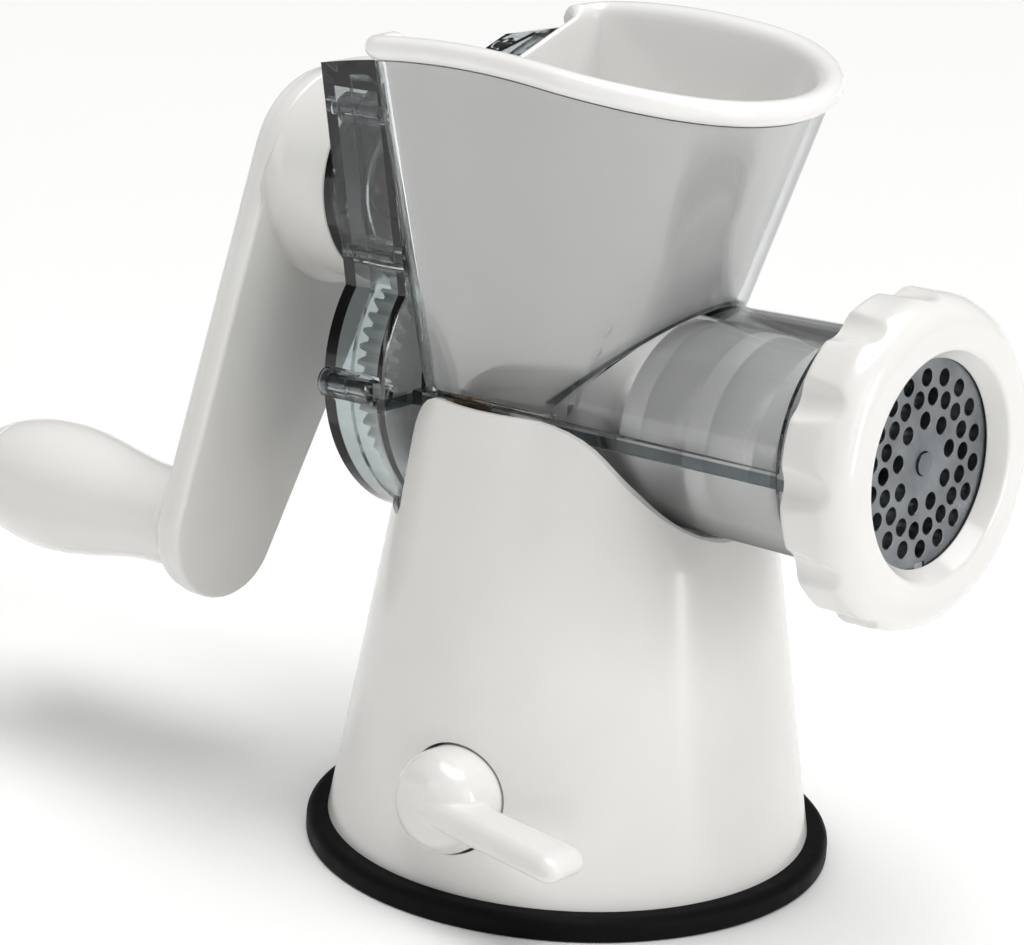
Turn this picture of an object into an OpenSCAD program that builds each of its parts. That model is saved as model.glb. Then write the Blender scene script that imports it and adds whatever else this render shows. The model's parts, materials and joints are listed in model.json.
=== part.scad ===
// Hand-cranked meat grinder on a suction base
// The origin is the centre of the sole on the table, +Z is up, +X points to the ring nut.
// The clear upper body is pitched nose-up, so its pieces are drawn in a body frame:
// x along the barrel, z square to it, origin on the barrel's axis over the sole's centre.

/* [Stance] */
// Nose-up pitch of the barrel in degrees
pitch = 3; // [0:0.5:4]
// Height of the barrel's axis over the sole's centre
axle_z = 121; // [118:0.5:124]

/* [Base] */
// Radius of the base cone at the top of its side tabs
crown_r = 43; // [42.8:0.1:46]
// Height at which the cone's top radius is measured
crown_z = 126; // [126:0.5:130]
// Wall of the base cone
base_wall = 3; // [2.4:0.1:3.2]
// Height of the deck that carries the clear body
deck_z = 86; // [84:0.5:87]
// Thickness of the deck
deck_t = 4; // [3:0.1:5]
// Rear edge of the side tabs
tab_rear_x = -27; // [-28:0.5:-24]
// Front end of the flat top of the side tabs
tab_front_x = 24; // [20:0.5:25]
// Height of the side tabs over the barrel's axis
tab_rise = 2.5; // [2:0.1:4.5]
// Slope of the front cut in degrees
front_cut_angle = 52; // [50:0.5:56]
// Height of the base's rear edge
rear_edge_z = 89; // [88:0.5:94]
// Depth of the cradle's shelf below the top of the tabs
shelf_drop = 6; // [4:0.5:8]
// Thickness of the thin lip round the base's upper edge
lip_t = 1.2; // [0.9:0.1:1.6]
// Height of the lip over the full wall
lip_h = 2.5; // [1.5:0.1:3.5]

/* [Rubber foot] */
// Outer radius of the rubber foot ring
foot_r = 68.2; // [66.5:0.1:71.5]
// Width of the foot ring outside the cone's lower edge
foot_lip = 5.5; // [4.5:0.1:6]
// Height of the rubber foot ring
foot_h = 6; // [5:0.1:7]
// Width of the ring's sole
sole_w = 18.2; // [17:0.1:19]
// Thickness of the ring's ledge
ledge_t = 1; // [0.8:0.1:1.2]
// Thickness of the suction membrane
membrane_t = 2; // [1.6:0.1:2.2]
// Radius of the membrane's middle boss
membrane_boss_r = 12; // [10:0.5:14]
// Rise of the membrane's middle while it holds
membrane_rise = 5.5; // [5.2:0.1:5.8]

/* [Suction lever] */
// Distance of the lever's shaft in front of the base's centre
lever_x = 10; // [9:0.1:11]
// Height of the lever's shaft
lever_z = 29; // [28.5:0.1:30]
// Radius of the lever's hub
lever_hub_r = 13.2; // [12.5:0.1:14]
// Distance of the hub's face from the base's middle plane
lever_face_y = 70; // [69.5:0.5:72]
// Rounding of the hub's face
lever_edge = 9; // [6:0.5:10]
// Reach of the lever's blade from its shaft
lever_reach = 46.5; // [40:0.5:50]
// Half thickness of the blade where it leaves the hub
lever_root_r = 4.2; // [3.8:0.1:4.6]
// Half thickness of the blade at its end
lever_end_r = 3.6; // [3:0.1:4]
// Width of the blade's flat side where it leaves the hub
lever_root_w = 12; // [10:0.5:12.5]
// Width of the blade's flat side at its end
lever_end_w = 14.5; // [12:0.5:15]
// Distance by which the blade's end stands out past the hub's face
lever_flare = 3.2; // [2:0.1:4]
// Slope of the blade below level in degrees
lever_droop = 2; // [0:0.5:6]
// Radius of the eccentric shaft
cam_shaft_r = 5; // [4.5:0.1:5.4]
// Throw of the eccentric pin
cam_throw = 3.5; // [3:0.1:3.6]
// Radius of the eccentric pin
cam_pin_r = 2.5; // [2.2:0.1:2.8]
// Radius of the plunger's rod
plunger_r = 6; // [5:0.1:7]

/* [Barrel] */
// Outer radius of the barrel at its rear end
barrel_rear_r = 26.8; // [26.6:0.1:28]
// Outer radius of the barrel at its front collar
barrel_front_r = 28.8; // [28:0.1:29.5]
// Radius of the barrel's bore
bore_r = 24; // [23.8:0.1:24.4]
// Rear end of the bore
bore_rear_x = -33.8; // [-34:0.1:-33.7]
// Start of the front collar
collar_x = 82; // [78:0.5:86]
// Radius of the front collar that the nut runs on
collar_r = 31.2; // [30:0.1:31.8]
// Distance of the side rails' outer faces from the middle plane
rail_y = 30; // [29.4:0.1:30.1]
// Height of the side rails
rail_h = 3.8; // [3:0.1:5]

/* [Cutting set] */
// Radius of the perforated plate
plate_r = 26.8; // [26.2:0.1:27]
// Thickness of the perforated plate
plate_t = 5; // [4:0.1:6]
// Front face of the perforated plate
plate_x = 101.7; // [101.4:0.1:102.5]
// Radius of the plate's holes
plate_hole_r = 2.1; // [1.6:0.05:2.2]
// Radius of the knife
knife_r = 21.5; // [19:0.1:22.5]
// Thickness of the knife
knife_t = 5; // [4:0.1:6]
// Side of the square that drives the knife
knife_square = 9; // [8:0.1:10]
// Radius of the auger's front pin
auger_pin_r = 2.8; // [2.4:0.1:3]
// Radius of the auger's flight
auger_r = 23; // [22:0.1:23.2]
// Lead of the auger's flight
auger_lead = 20.3; // [19:0.1:22]
// Radius of the auger's core at the rear
auger_core_rear = 8; // [7:0.1:9]
// Radius of the auger's core at the front
auger_core_front = 11; // [10:0.1:13]

/* [Ring nut] */
// Radius of the nut over its lobes
nut_r = 40.5; // [39:0.1:42]
// Rear face of the nut
nut_rear_x = 89; // [88:0.5:91]
// Front face of the nut
nut_front_x = 107.2; // [106:0.1:108]
// Radius of the opening in front of the plate
nut_mouth_r = 25; // [24.6:0.1:25.4]
// Number of finger flutes
nut_flutes = 12; // [10:1:14]
// Radius of one flute
flute_r = 7; // [5:0.5:8]
// Depth of the flutes at the rear
flute_depth = 3; // [1.5:0.1:3.5]

/* [Hopper] */
// Half width of the hopper at the axis
hopper_low_w = 28.6; // [28.4:0.1:29]
// Half width of the hopper at its top
hopper_top_w = 44.4; // [42:0.1:46]
// Front end of the hopper at the axis
hopper_low_front = 30; // [29:0.5:34]
// Front end of the hopper at its top
hopper_top_front = 64; // [60:0.5:66]
// Rear end of the hopper at the axis
hopper_low_rear = -36; // [-36.2:0.1:-35.8]
// Rear end of the hopper at its top
hopper_top_rear = -38; // [-39:0.1:-37]
// Radius of the rear corners at the axis
hopper_low_corner = 8.5; // [7:0.5:12]
// Radius of the rear corners at the top
hopper_top_corner = 7.5; // [7:0.5:12]
// Wall of the clear hopper
hopper_wall = 2.8; // [2.4:0.1:2.9]
// Highest point of the liner's rim over the axis
rim_top = 91.8; // [89:0.1:94]
// Radius of the rim's arch seen from the side
arch_r = 249; // [220:1:300]
// Place of the arch's highest point along the barrel
arch_x = -11; // [-15:0.5:-5]
// Height of the liner's rolled rim
rim_h = 6.2; // [5.5:0.1:7.2]
// Overhang of the rolled rim past the clear wall
rim_over = 2; // [1.4:0.1:2.4]
// Wall of the liner
liner_t = 1.8; // [1.4:0.1:2]
// Height over the axis at which the two slopes of the rear notch meet
notch_z = 77.7; // [76:0.1:80]
// Slope of the rear notch in degrees
notch_angle = 20; // [16:1:22]

/* [Gear case] */
// Rear face of the gear case
case_rear_x = -55; // [-56:0.1:-54.8]
// Seam between the case and its cover
seam_x = -46; // [-46.5:0.1:-45.5]
// Front face of the gear case
case_front_x = -34; // [-34.2:0.1:-33.9]
// Radius of the case's lower lobe
lobe_r = 40.4; // [39.5:0.1:40.6]
// Half width of the case at the top of its sides
case_top_w = 41; // [40.5:0.1:43]
// Height at which the top half width is measured
case_top_z = 80; // [78:0.5:82]
// Half width of the case at its shoulders
case_mid_w = 34.5; // [34:0.1:36]
// Height of the shoulders
case_mid_z = 38; // [36:0.5:40]
// Height of the waist
case_waist_z = 24; // [22:0.5:26]
// Wall of the gear case
case_wall = 2.5; // [2.2:0.1:3]
// Top of the hollow in the case
case_hollow_top = 76; // [75:0.5:77]
// Radius of the collar round the crank shaft
crank_collar_r = 27; // [25:0.1:27.5]

/* [Gears] */
// Module of the gears
gear_module = 1.25; // [1.22:0.01:1.26]
// Teeth on the crank's pinion
pinion_teeth = 24; // [24:1:24]
// Teeth on the auger's gear
gear_teeth = 48; // [48:1:48]
// Width of the gears
gear_w = 8.5; // [7:0.1:8.8]
// Radius of the crank shaft in its bush
crank_shaft_r = 5; // [4.8:0.1:5.4]
// Radius of the crank bush
crank_bush_r = 8; // [7.5:0.1:8.6]
// Radius of the auger gear's journal
journal_r = 10; // [9.5:0.1:10.5]
// Size across the flats of the auger's hexagon
hex_af = 10; // [9:0.1:11]

/* [Crank] */
// Front end of the crank's hub
hub_front_x = -68.4; // [-69:0.1:-68]
// Rear end of the crank's hub where the arm begins
hub_rear_x = -86.3; // [-88:0.1:-84]
// Radius of the crank's hub
hub_r = 27.6; // [25:0.1:28.5]
// Thickness of the crank's arm
arm_t = 9.7; // [9:0.1:12]
// Radius of the arm's lower end
arm_end_r = 18; // [16:0.1:20]
// Sideways place of the arm's lower end
arm_end_y = -45; // [-50:0.5:-40]
// Height of the arm's lower end over the barrel's axis
arm_end_z = -45; // [-50:0.5:-40]

/* [Grip] */
// Radius of the grip's neck
grip_neck_r = 13; // [12:0.1:14]
// Largest radius of the grip
grip_belly_r = 17.7; // [16:0.1:19]
// Length of the grip with its cap
grip_len = 85; // [80:0.5:95]
// Length of the cap
grip_cap_len = 17; // [14:0.5:20]
// Radius of the grip's pin
grip_pin_r = 4; // [3.5:0.1:4.5]

/* [Fits] */
// Radial clearance of a shaft in its bearing
run_gap = 0.05; // [0.03:0.01:0.08]
// Clearance between pieces that pass each other
free_gap = 0.3; // [0.25:0.01:0.35]

/* [Hidden] */
$fn = 96;
// Hair by which thin slices are drawn and cutters meet
eps = 0.01;
// Margin by which a cutter runs past what it cuts
past = 5;
// Size of a block that covers the whole object
far = 300;
white = "#f2f1ee";
clear = [0.62, 0.68, 0.68, 0.45];
steel = "#b9bcc0";
bronze = "#b08d57";
rubber = "#161616";

// Points of a circle's arc
function arc(centre, r, from, to, steps) = [for (i = [0:steps])
    centre + r * [cos(from + (to - from) * i / steps), sin(from + (to - from) * i / steps)]];

// A polygon given as [x, y, corner radius], with its corners turned into arcs
function unit(v) = v / norm(v);
function fillet(a, b, c, r, steps) = r <= 0 ? [b] : let (
    u = unit(a - b),
    v = unit(c - b),
    half = acos(u * v) / 2,
    centre = b + unit(u + v) * r / sin(half),
    start = b + u * r / tan(half) - centre,
    end = b + v * r / tan(half) - centre,
    from = atan2(start.y, start.x),
    turn = (atan2(end.y, end.x) - from + 540) % 360 - 180)
    arc(centre, r, from, from + turn, steps);
function flat(p) = [p.x, p.y];
function rounded(points, steps = 6) = let (n = len(points)) [for (i = [0:n - 1])
    each fillet(flat(points[(i + n - 1) % n]), flat(points[i]), flat(points[(i + 1) % n]), points[i].z, steps)];

// The body frame, and shapes pushed along X, along Y or turned round X
module pitched() {
    translate([0, 0, axle_z]) rotate([0, -pitch, 0]) children();
}

module along_x(from, to) {
    translate([from, 0, 0]) rotate([90, 0, 90]) linear_extrude(to - from) children();
}

module along_y(from, to) {
    translate([0, to, 0]) rotate([90, 0, 0]) linear_extrude(to - from) children();
}

module bar_x(r, from, to, y = 0, z = 0) {
    translate([from, y, z]) rotate([0, 90, 0]) cylinder(r = r, h = to - from);
}

module turned_x() {
    rotate([0, 90, 0]) rotate_extrude() mirror([1, 0]) rotate(90) children();
}

module ring(outer, inner, from, to) {
    difference() {
        translate([0, 0, from]) cylinder(r = outer, h = to - from);
        translate([0, 0, from - past]) cylinder(r = inner, h = to - from + 2 * past);
    }
}

module block(low, high) {
    translate(low) cube(high - low);
}

module around(count, r, first = 0) {
    for (i = [0:count - 1])
        rotate(first + i * 360 / count) translate([r, 0, 0]) children();
}

// The outline of a band with two round ends
module strap(from, from_r, to, to_r) {
    span = to - from;
    heading = atan2(span.y, span.x);
    lean = acos((from_r - to_r) / norm(span));
    polygon(concat(
        arc(to, to_r, heading - lean, heading + lean, 36),
        arc(from, from_r, heading + lean, heading + 360 - lean, 48)));
}

// A slotted screw with its head's seat at z = 0 and its shank upwards
module screw(shank_r, shank_len, head_r, head_h) {
    slot_w = head_r * 0.3;
    difference() {
        union() {
            cylinder(r = shank_r, h = shank_len);
            translate([0, 0, -head_h]) cylinder(r = head_r, h = head_h);
        }
        block([-head_r - past, -slot_w / 2, -head_h - past], [head_r + past, slot_w / 2, -head_h / 2]);
    }
}

// Base: a cone with cut-down top, a deck, a cradle for the barrel and a cup for the lever
skirt_r = foot_r - foot_lip;
ledge_r = foot_r - sole_w;
cone_slope = (skirt_r - crown_r) / (crown_z - foot_h);
tab_top_z = axle_z + tab_rise;
tab_front_corner_r = 22;
tab_rear_corner_r = 13;
lobe_gap = 0.7;
saddle_t = 3;
cradle_gap = 1.2;
cradle_wall_t = 2.4;
cradle_y = rail_y + cradle_gap;
rail_low = -rail_h - 0.4;
cup_r = lever_hub_r + 0.7;
cup_wall = 2.5;
cup_floor_y = 50;
cup_boss_y = 42;
screw_slack = 0.25;
guide_ring_r = ledge_r - 4;
guide_screw_r = 1.9;
guide_screw_head = [3.5, 2.2];
guide_disc_z = 10;
guide_disc_t = 3;
guide_top_z = guide_disc_z + guide_disc_t;
guide_boss_r = 4.5;
guide_boss_h = 17;
body_screw_r = 1.9;
body_screw_depth = 9;
body_screw_head = [3.4, 2.4];
body_screw_places = [[-17, -11], [-17, 11], [19, -11], [19, 11]];

module cone_solid(inset = 0) {
    rise = crown_z - foot_h + past;
    translate([0, 0, foot_h])
        cylinder(r1 = skirt_r - inset, r2 = skirt_r - cone_slope * rise - inset, h = rise);
}

module base_side_view() {
    polygon(rounded([
        [-far, -far, 0],
        [-far, rear_edge_z, 0],
        [tab_rear_x, rear_edge_z, 3],
        [tab_rear_x, tab_top_z + tab_rear_x * tan(pitch), tab_rear_corner_r],
        [tab_front_x, tab_top_z + tab_front_x * tan(pitch), tab_front_corner_r],
        [tab_front_x + far / tan(front_cut_angle), tab_top_z - far, 0],
        [tab_front_x + far, -far, 0]]));
}

module under_edge(drop) {
    translate([0, 0, -drop]) along_y(-far, far) base_side_view();
}

module lobe_round(grow) {
    pitched() bar_x(lobe_r + lobe_gap + grow, case_rear_x - 2 * past, case_front_x + lobe_gap + grow);
}

module lever_axis() {
    translate([lever_x, 0, lever_z]) rotate([90, 0, 0]) children();
}

module cradle() {
    difference() {
        under_edge(shelf_drop);
        difference() {
            under_edge(shelf_drop + base_wall);
            for (side = [-1, 1])
                translate([0, side * (cradle_y + cradle_wall_t / 2), 0])
                    block([-far, -cradle_wall_t / 2, 0], [far, cradle_wall_t / 2, far]);
            block([tab_rear_x, -far, 0], [tab_rear_x + cradle_wall_t, far, far]);
        }
        block([-far, -cradle_y, 0], [far, cradle_y, far]);
        block([-far, -far, 0], [tab_rear_x, far, far]);
        block([-far, -far, 0], [far, far, deck_z - eps]);
    }
}

module base_shell() {
    color(white) difference() {
        union() {
            difference() {
                cone_solid();
                translate([0, 0, -eps]) cone_solid(base_wall);
            }
            intersection() {
                cone_solid(eps);
                union() {
                    block([case_front_x - past, -far, deck_z - deck_t], [far, far, deck_z]);
                    lobe_round(saddle_t);
                    cradle();
                    lever_axis() translate([0, 0, cup_floor_y - base_wall])
                        cylinder(r = cup_r + cup_wall, h = far);
                    around(4, guide_ring_r, 45) {
                        translate([0, 0, guide_top_z]) cylinder(r = guide_boss_r, h = guide_boss_h);
                        block([0, -base_wall / 2, guide_top_z], [far, base_wall / 2, guide_top_z + guide_boss_h]);
                    }
                }
            }
            lever_axis() translate([0, 0, cup_boss_y])
                cylinder(r = cam_shaft_r + base_wall, h = cup_floor_y - cup_boss_y);
        }
        difference() {
            block([-far, -far, deck_z - deck_t - past], [far, far, far]);
            under_edge(0);
        }
        intersection() {
            cone_solid(lip_t);
            difference() {
                block([-far, -far, deck_z], [far, far, far]);
                under_edge(lip_h);
            }
        }
        lobe_round(0);
        pitched() {
            bar_x(barrel_front_r + free_gap, case_front_x, far);
            block([case_front_x, -rail_y - free_gap, rail_low - free_gap], [far, rail_y + free_gap, 0]);
        }
        lever_axis() {
            cylinder(r = cam_shaft_r + run_gap, h = far);
            translate([0, 0, cup_floor_y]) cylinder(r = cup_r, h = far);
        }
        around(4, guide_ring_r, 45)
            translate([0, 0, guide_top_z - past]) cylinder(r = guide_screw_r, h = past + guide_boss_h - base_wall);
        for (place = body_screw_places)
            translate([place.x, place.y, deck_z - deck_t - past])
                cylinder(r = body_screw_r + screw_slack, h = deck_t + 2 * past);
    }
}

// Rubber foot with its ledge, and the membrane that the plunger draws up
foot_inner_r = skirt_r - base_wall - 1.7;
foot_edge_r = 2.5;
membrane_top_z = ledge_t + membrane_rise + membrane_t;

module foot_ring() {
    color(rubber) rotate_extrude($fn = 180) polygon(rounded([
        [ledge_r, 0, 0],
        [foot_r, 0, 0.8],
        [foot_r, foot_h, foot_edge_r],
        [foot_inner_r, foot_h, 0],
        [foot_inner_r, ledge_t, 0],
        [ledge_r, ledge_t, 0]]));
}

module suction_membrane() {
    rim_r = foot_inner_r - run_gap;
    top_z = membrane_top_z;
    color(rubber) rotate_extrude() polygon([
        [0, top_z - membrane_t],
        [membrane_boss_r, top_z - membrane_t],
        [ledge_r - 1, ledge_t],
        [rim_r, ledge_t],
        [rim_r, ledge_t + membrane_t],
        [ledge_r - 1, ledge_t + membrane_t],
        [membrane_boss_r, top_z],
        [0, top_z]]);
}

// Guide plate: holds the membrane's rim down, guides the plunger and carries the shaft
guide_r = foot_inner_r - 0.5;
guide_rim_r = ledge_r + 0.6;
tube_wall = 4;
tube_top_z = 18;
ear_y = 14;
ear_t = 10;
ear_w = 9;
ear_top = 8;

module guide_plate() {
    color(white) difference() {
        union() {
            translate([0, 0, guide_disc_z]) cylinder(r = guide_r, h = guide_disc_t);
            ring(guide_r, guide_rim_r, ledge_t + membrane_t, guide_disc_z + eps);
            translate([0, 0, guide_disc_z]) cylinder(r = plunger_r + tube_wall, h = tube_top_z - guide_disc_z);
            block([lever_x - ear_w, -ear_y - ear_t, guide_disc_z], [lever_x + ear_w, -ear_y, lever_z + ear_top]);
        }
        cylinder(r = plunger_r + run_gap, h = far);
        lever_axis() {
            cylinder(r = cam_shaft_r + run_gap, h = far);
            translate([0, 0, cup_floor_y - base_wall - free_gap]) cylinder(r = cup_r + cup_wall + free_gap, h = far);
        }
        around(4, guide_ring_r, 45) cylinder(r = guide_screw_r + screw_slack, h = far);
    }
}

module guide_screws() {
    color(steel) around(4, guide_ring_r, 45)
        translate([0, 0, guide_disc_z])
            screw(guide_screw_r - run_gap, guide_boss_h - past, guide_screw_head.x, guide_screw_head.y);
}

// Eccentric shaft, clip and plunger, drawn with the lever in its locked place
cam_lift = cam_throw * sin(45);
cam_back = cam_throw * cos(45);
web_y = ear_y - free_gap;
web_t = 3.2;
yoke_t = 9;
clip_y = ear_y + ear_t + free_gap;
clip_t = 1;
clip_groove = 0.8;
clip_mouth = 5;
shaft_seat = 16;

module cam_shaft() {
    color(steel) lever_axis() {
        difference() {
            translate([0, 0, web_y - web_t]) cylinder(r = cam_shaft_r, h = cup_floor_y + shaft_seat - web_y + web_t);
            ring(cam_shaft_r + past, cam_shaft_r - clip_groove, clip_y - 0.1, clip_y + clip_t + 0.1);
        }
        translate([0, 0, web_y - web_t]) cylinder(r = cam_throw + cam_pin_r + 1.2, h = web_t);
        translate([-cam_back, cam_lift, -yoke_t / 2 - 1]) cylinder(r = cam_pin_r, h = yoke_t / 2 + 1 + web_y - web_t);
    }
}

module shaft_clip() {
    color(steel) lever_axis() difference() {
        ring(cam_shaft_r + 3, cam_shaft_r - clip_groove + run_gap, clip_y, clip_y + clip_t);
        block([-far, -clip_mouth / 2, 0], [0, clip_mouth / 2, far]);
    }
}

module plunger() {
    pin_z = lever_z + cam_lift;
    slot_low = lever_x - cam_throw - cam_pin_r - 0.4;
    slot_high = lever_x - cam_back + cam_pin_r + 0.4;
    half_slot = cam_pin_r + free_gap;
    frame_t = 2.6;
    foot_z = pin_z - half_slot - frame_t;
    color(white) difference() {
        union() {
            translate([0, 0, membrane_top_z]) cylinder(r = plunger_r, h = foot_z - membrane_top_z + eps);
            block([-plunger_r, -yoke_t / 2, foot_z],
                [slot_high + frame_t, yoke_t / 2, pin_z + half_slot + frame_t]);
        }
        block([slot_low, -far, pin_z - half_slot], [slot_high, far, pin_z + half_slot]);
    }
}

module suction_lever() {
    floor_y = cup_floor_y + free_gap;
    root_y = lever_face_y - lever_root_r;
    end_y = lever_face_y + lever_flare - lever_end_r;
    color(white) difference() {
        union() {
            lever_axis() rotate_extrude() polygon(rounded([
                [0, floor_y, 0],
                [lever_hub_r, floor_y, 0],
                [lever_hub_r, lever_face_y, lever_edge],
                [0, lever_face_y, 0]]));
            lever_axis() rotate(-lever_droop) hull() {
                for (y = [root_y - lever_root_w + 2 * lever_root_r, root_y])
                    translate([0, 0, y]) sphere(r = lever_root_r, $fn = 32);
                for (y = [end_y - lever_end_w + 2 * lever_end_r, end_y])
                    translate([lever_reach - lever_end_r, 0, y]) sphere(r = lever_end_r, $fn = 32);
            }
        }
        lever_axis() cylinder(r = cam_shaft_r + run_gap, h = cup_floor_y + shaft_seat + free_gap);
    }
}

// Hopper outline between its level at the axis and its level at the top
hopper_top_z = 85;
function between(low, top, z) = low + (top - low) * z / hopper_top_z;

module hopper_loft(grow, from_z = 0) {
    hull() for (z = [from_z, rim_top + past]) {
        w = between(hopper_low_w, hopper_top_w, z);
        rear = between(hopper_low_rear, hopper_top_rear, z);
        front = between(hopper_low_front, hopper_top_front, z);
        corner = between(hopper_low_corner, hopper_top_corner, z);
        translate([front - w, 0, z]) cylinder(r = w + grow, h = eps, $fn = 72);
        for (side = [-1, 1])
            translate([rear + corner, side * (w - corner), z]) cylinder(r = corner + grow, h = eps, $fn = 32);
    }
}

module under_arch(drop) {
    translate([arch_x, 0, rim_top - arch_r]) rotate([90, 0, 0])
        translate([0, 0, -far / 2]) cylinder(r = arch_r - drop, h = far, $fn = 360);
}

// The V-shaped notch that lowers the rear wall in the middle
notch_front_x = hopper_low_rear + 6;
notch_round_r = 30;

module rear_notch(drop) {
    side_z = notch_z - drop + far * tan(notch_angle);
    along_x(-far, notch_front_x) polygon(rounded([
        [far, far, 0],
        [-far, far, 0],
        [-far, side_z, 0],
        [0, notch_z - drop, notch_round_r],
        [far, side_z, 0]], 12));
}

// Gear case: a lobe round the auger's gear with a trapezoid over it
crank_z = gear_module * (pinion_teeth + gear_teeth) / 2;
case_hollow_x = case_front_x - 4;
boss_rear_x = case_hollow_x - 3.5;
case_roof_t = 3;
post_r = 4;
case_screw_r = 1.4;
case_screw_head_r = 2.8;
case_screw_head_h = 1.8;
lug_r = 4;
post_places = [
    [case_top_w - 8, case_hollow_top - 6],
    [28, 33],
    [lobe_r - 1.5, 0]];

module case_view(inset, top) {
    side_slope = (case_top_w - case_mid_w) / (case_top_z - case_mid_z);
    waist_w = sqrt(lobe_r * lobe_r - case_waist_z * case_waist_z);
    top_w = case_mid_w + side_slope * (top - case_mid_z);
    circle(r = lobe_r - inset);
    polygon([for (p = [[waist_w, 0], [waist_w, case_waist_z], [case_mid_w, case_mid_z], [top_w, top]])
        [p.x - inset, p.y],
        for (p = [[top_w, top], [case_mid_w, case_mid_z], [waist_w, case_waist_z], [waist_w, 0]])
        [inset - p.x, p.y]]);
}

module case_hollow(from, to) {
    difference() {
        along_x(from, to) case_view(case_wall, case_hollow_top);
        rear_notch(rim_h + case_roof_t);
    }
}

module at_posts() {
    for (place = post_places, side = [-1, 1])
        translate([0, side * place.x, place.y]) children();
}

module case_posts(from, to) {
    for (place = post_places, side = [-1, 1])
        bar_x(place.y > 0 ? post_r : lug_r, from, to, side * place.x, place.y);
}

module case_screw_holes(r, from, to) {
    at_posts() bar_x(r, from, to);
}

// Clear body: barrel, hopper wall, front half of the gear case and the foot on the deck
mouth_x = plate_x - 0.5;
plate_back_x = plate_x - plate_t;
seal_x = case_hollow_x + 2;
seal_r = journal_r + 3.6;
crank_end_r = 3.5;
crank_end_x = case_front_x - 2.6;
body_foot_x = [-24, 26];
body_foot_y = 16;
key_w = 3.6;
key_depth = 2.4;

module body_outer() {
    translate([case_front_x, 0, 0]) rotate([0, 90, 0])
        cylinder(r1 = barrel_rear_r, r2 = barrel_front_r, h = collar_x - case_front_x + past);
    bar_x(collar_r, collar_x, mouth_x);
    block([case_front_x, -rail_y, rail_low], [collar_x + 1, rail_y, rail_low + rail_h]);
    hopper_loft(0);
    along_x(seam_x, case_front_x) case_view(0, rim_top);
}

module grinder_body() {
    color(clear) difference() {
        union() {
            pitched() intersection() {
                under_arch(rim_h);
                difference() {
                    body_outer();
                    rear_notch(rim_h);
                    case_hollow(seam_x - past, case_hollow_x);
                }
            }
            block([body_foot_x[0], -body_foot_y, deck_z], [body_foot_x[1], body_foot_y, axle_z - bore_r / 2]);
            pitched() {
                case_posts(seam_x, case_hollow_x + eps);
                bar_x(seal_r, boss_rear_x, case_hollow_x + eps);
                bar_x(crank_end_r + 4, boss_rear_x, case_hollow_x + eps, 0, crank_z);
            }
        }
        pitched() {
            hopper_loft(-hopper_wall);
            bar_x(bore_r, bore_rear_x, mouth_x + past);
            difference() {
                bar_x(plate_r + 0.25, plate_back_x, mouth_x + past);
                block([plate_back_x, -key_w / 2, -plate_r - past], [mouth_x, key_w / 2, key_depth - plate_r]);
            }
            bar_x(seal_r, seal_x, bore_rear_x + eps);
            bar_x(journal_r + run_gap, boss_rear_x - past, seal_x + eps);
            bar_x(crank_end_r + run_gap, boss_rear_x - past, crank_end_x, 0, crank_z);
            case_screw_holes(case_screw_r, seam_x - past, case_hollow_x - 2);
        }
        for (place = body_screw_places)
            translate([place.x, place.y, deck_z - past]) cylinder(r = body_screw_r, h = past + body_screw_depth);
    }
}

module body_screws() {
    color(steel) for (place = body_screw_places)
        translate([place.x, place.y, deck_z - deck_t])
            screw(body_screw_r - run_gap, deck_t + body_screw_depth - free_gap, body_screw_head.x, body_screw_head.y);
}

// Rear cover with the collar that holds the crank's bush
cover_inner_x = case_rear_x + case_wall;
collar_rear_x = hub_front_x + free_gap;
collar_wall = 2.5;
bush_front_x = cover_inner_x - 0.5;
bush_flange_t = 0.9;
cover_seat_x = case_rear_x + 2;

module gear_cover() {
    color(clear) pitched() difference() {
        union() {
            difference() {
                intersection() {
                    under_arch(rim_h);
                    along_x(case_rear_x, seam_x) case_view(0, rim_top);
                }
                rear_notch(rim_h);
                case_hollow(cover_inner_x, seam_x + past);
            }
            case_posts(case_rear_x + eps, seam_x);
            bar_x(crank_collar_r, collar_rear_x, case_rear_x + eps, 0, crank_z);
        }
        difference() {
            bar_x(crank_collar_r - collar_wall, collar_rear_x + 2, cover_inner_x + eps, 0, crank_z);
            bar_x(crank_bush_r + collar_wall, collar_rear_x, bush_front_x, 0, crank_z);
        }
        bar_x(crank_bush_r + run_gap, collar_rear_x - past, seam_x, 0, crank_z);
        case_screw_holes(case_screw_r + screw_slack, case_rear_x - past, seam_x + past);
        case_screw_holes(case_screw_head_r + screw_slack, case_rear_x - past, cover_seat_x);
    }
}

module cover_screws() {
    color(steel) pitched() at_posts() translate([cover_seat_x, 0, 0]) rotate([0, 90, 0])
        screw(case_screw_r - run_gap, case_hollow_x - 3 - cover_seat_x, case_screw_head_r, case_screw_head_h);
}

// Crank shaft with its bush, squares for the arm and the pinion, and the two gears
square_side = crank_shaft_r * 1.4;
square_gap = 0.1;
gear_rear_x = cover_inner_x + 1.2;
gear_front_x = gear_rear_x + gear_w;
backlash = 0.2;
pressure_angle = 20;
shaft_rear_x = hub_rear_x - arm_t + 4;
crank_screw_r = 2;
crank_screw_len = 13;
crank_screw_head = [4.6, 1.8];
crank_seat_x = shaft_rear_x - 2;

function involute(angle) = tan(angle) * 180 / PI - angle;

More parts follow.
